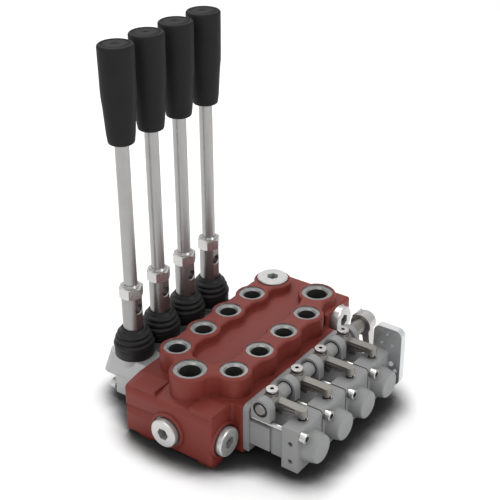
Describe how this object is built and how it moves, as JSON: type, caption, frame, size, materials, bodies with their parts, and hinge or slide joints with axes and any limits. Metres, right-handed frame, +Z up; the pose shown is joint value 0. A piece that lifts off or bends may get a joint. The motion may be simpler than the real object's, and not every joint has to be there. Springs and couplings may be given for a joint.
{
  "type": "directional control valve",
  "caption": "Monoblock directional control valve with hand levers, port bosses and a switch trip gear.",
  "frame": {"origin": "on the surface that the feet stand on, at the centre of the four foot holes, midway between spools 2 and 3 and between the two port rows", "axes": "+X along the row of sections to the tank port end, +Y to the hand levers, +Z up"},
  "size_m": [0.2257, 0.2272, 0.3317],
  "materials": {
    "casting_paint": "satin",
    "gear_paint": "satin",
    "box_aluminium": "matt cast",
    "lever_steel": "turned",
    "spool_steel": "ground",
    "zinc_steel": "zinc plated",
    "dark_steel": "phosphated",
    "cast_nickel": "blasted, plated",
    "plate_aluminium": "milled",
    "spring_steel": "oiled",
    "boot_rubber": "matt",
    "seal_rubber": "matt",
    "bush_plastic": "matt",
    "knob_plastic": "fine grained"
  },
  "bodies": {
    "root": {"valve_body": "casting_paint", "port_plugs": "zinc_steel", "bonded_seals": "dark_steel", "check_and_relief_poppets": "spool_steel", "spool_seals": "seal_rubber", "pivot_pins": "zinc_steel", "lever_box_screws": "zinc_steel", "trip_gear_screws": "zinc_steel", "pin_guides": "zinc_steel", "centring_springs": "spring_steel", "shaft_bushes": "bush_plastic", "switch_plate": "plate_aluminium", "switch_plate_screws": "zinc_steel", "lever_box_1": "box_aluminium", "lever_box_2": "box_aluminium", "lever_box_3": "box_aluminium", "lever_box_4": "box_aluminium", "lever_boot_1": "boot_rubber", "lever_boot_2": "boot_rubber", "lever_boot_3": "boot_rubber", "lever_boot_4": "boot_rubber", "spring_housing_1": "gear_paint", "spring_housing_2": "gear_paint", "spring_housing_3": "gear_paint", "spring_housing_4": "gear_paint", "end_block_1": "gear_paint", "end_block_2": "gear_paint", "end_block_3": "gear_paint", "end_block_4": "gear_paint"},
    "trip_unit": {"trip_shaft": "cast_nickel", "end_lever": "cast_nickel", "clamp_screws": "zinc_steel", "trip_finger_1": "cast_nickel", "trip_finger_2": "cast_nickel", "trip_finger_3": "cast_nickel", "trip_finger_4": "cast_nickel"},
    "hand_lever_1": {"lever_stub_1": "lever_steel", "lock_nut_1": "lever_steel", "lever_rod_1": "lever_steel", "lever_knob_1": "knob_plastic"},
    "spool_unit_1": {"spool_1": "spool_steel"},
    "pin_unit_1": {"lift_pin_1": "dark_steel"},
    "hand_lever_2": {"lever_stub_2": "lever_steel", "lock_nut_2": "lever_steel", "lever_rod_2": "lever_steel", "lever_knob_2": "knob_plastic"},
    "spool_unit_2": {"spool_2": "spool_steel"},
    "pin_unit_2": {"lift_pin_2": "dark_steel"},
    "hand_lever_3": {"lever_stub_3": "lever_steel", "lock_nut_3": "lever_steel", "lever_rod_3": "lever_steel", "lever_knob_3": "knob_plastic"},
    "spool_unit_3": {"spool_3": "spool_steel"},
    "pin_unit_3": {"lift_pin_3": "dark_steel"},
    "hand_lever_4": {"lever_stub_4": "lever_steel", "lock_nut_4": "lever_steel", "lever_rod_4": "lever_steel", "lever_knob_4": "knob_plastic"},
    "spool_unit_4": {"spool_4": "spool_steel"},
    "pin_unit_4": {"lift_pin_4": "dark_steel"}
  },
  "joints": [
    {"name": "lever_1_tilt", "type": "hinge", "parent": "root", "child": "hand_lever_1", "pos_m": [-0.0555, 0.08025, 0.053], "axis": [1, 0, 0], "range_deg": [-14, 14], "stiffness_Nm_per_rad": 20, "deforming": ["lever_boot_1"]},
    {"name": "lever_2_tilt", "type": "hinge", "parent": "root", "child": "hand_lever_2", "pos_m": [-0.0185, 0.08025, 0.053], "axis": [1, 0, 0], "range_deg": [-14, 14], "stiffness_Nm_per_rad": 20, "deforming": ["lever_boot_2"]},
    {"name": "lever_3_tilt", "type": "hinge", "parent": "root", "child": "hand_lever_3", "pos_m": [0.0185, 0.08025, 0.053], "axis": [1, 0, 0], "range_deg": [-14, 14], "stiffness_Nm_per_rad": 20, "deforming": ["lever_boot_3"]},
    {"name": "lever_4_tilt", "type": "hinge", "parent": "root", "child": "hand_lever_4", "pos_m": [0.0555, 0.08025, 0.053], "axis": [1, 0, 0], "range_deg": [-14, 14], "stiffness_Nm_per_rad": 20, "deforming": ["lever_boot_4"]},
    {"name": "spool_1_slide", "type": "slide", "parent": "root", "child": "spool_unit_1", "axis": [0, 1, 0], "range_m": [-0.0064, 0.0064]},
    {"name": "spool_2_slide", "type": "slide", "parent": "root", "child": "spool_unit_2", "axis": [0, 1, 0], "range_m": [-0.0064, 0.0064]},
    {"name": "spool_3_slide", "type": "slide", "parent": "root", "child": "spool_unit_3", "axis": [0, 1, 0], "range_m": [-0.0064, 0.0064]},
    {"name": "spool_4_slide", "type": "slide", "parent": "root", "child": "spool_unit_4", "axis": [0, 1, 0], "range_m": [-0.0064, 0.0064]},
    {"name": "trip_turn", "type": "hinge", "parent": "root", "child": "trip_unit", "pos_m": [0, -0.06915, 0.0558], "axis": [-1, 0, 0], "range_deg": [0, 5]},
    {"name": "pin_1_lift", "type": "slide", "parent": "root", "child": "pin_unit_1", "axis": [0, 0, 1], "range_m": [0, 0.0028]},
    {"name": "pin_2_lift", "type": "slide", "parent": "root", "child": "pin_unit_2", "axis": [0, 0, 1], "range_m": [0, 0.0028]},
    {"name": "pin_3_lift", "type": "slide", "parent": "root", "child": "pin_unit_3", "axis": [0, 0, 1], "range_m": [0, 0.0028]},
    {"name": "pin_4_lift", "type": "slide", "parent": "root", "child": "pin_unit_4", "axis": [0, 0, 1], "range_m": [0, 0.0028]}
  ],
  "couplings": [
    {"joint": "spool_1_slide", "follows": "lever_1_tilt", "m_per_rad": 0.026},
    {"joint": "spool_2_slide", "follows": "lever_2_tilt", "m_per_rad": 0.026},
    {"joint": "spool_3_slide", "follows": "lever_3_tilt", "m_per_rad": 0.026},
    {"joint": "spool_4_slide", "follows": "lever_4_tilt", "m_per_rad": 0.026},
    {"joint": "pin_1_lift", "follows": "trip_turn", "m_per_rad": 0.03035},
    {"joint": "pin_2_lift", "follows": "trip_turn", "m_per_rad": 0.03035},
    {"joint": "pin_3_lift", "follows": "trip_turn", "m_per_rad": 0.03035},
    {"joint": "pin_4_lift", "follows": "trip_turn", "m_per_rad": 0.03035}
  ]
}
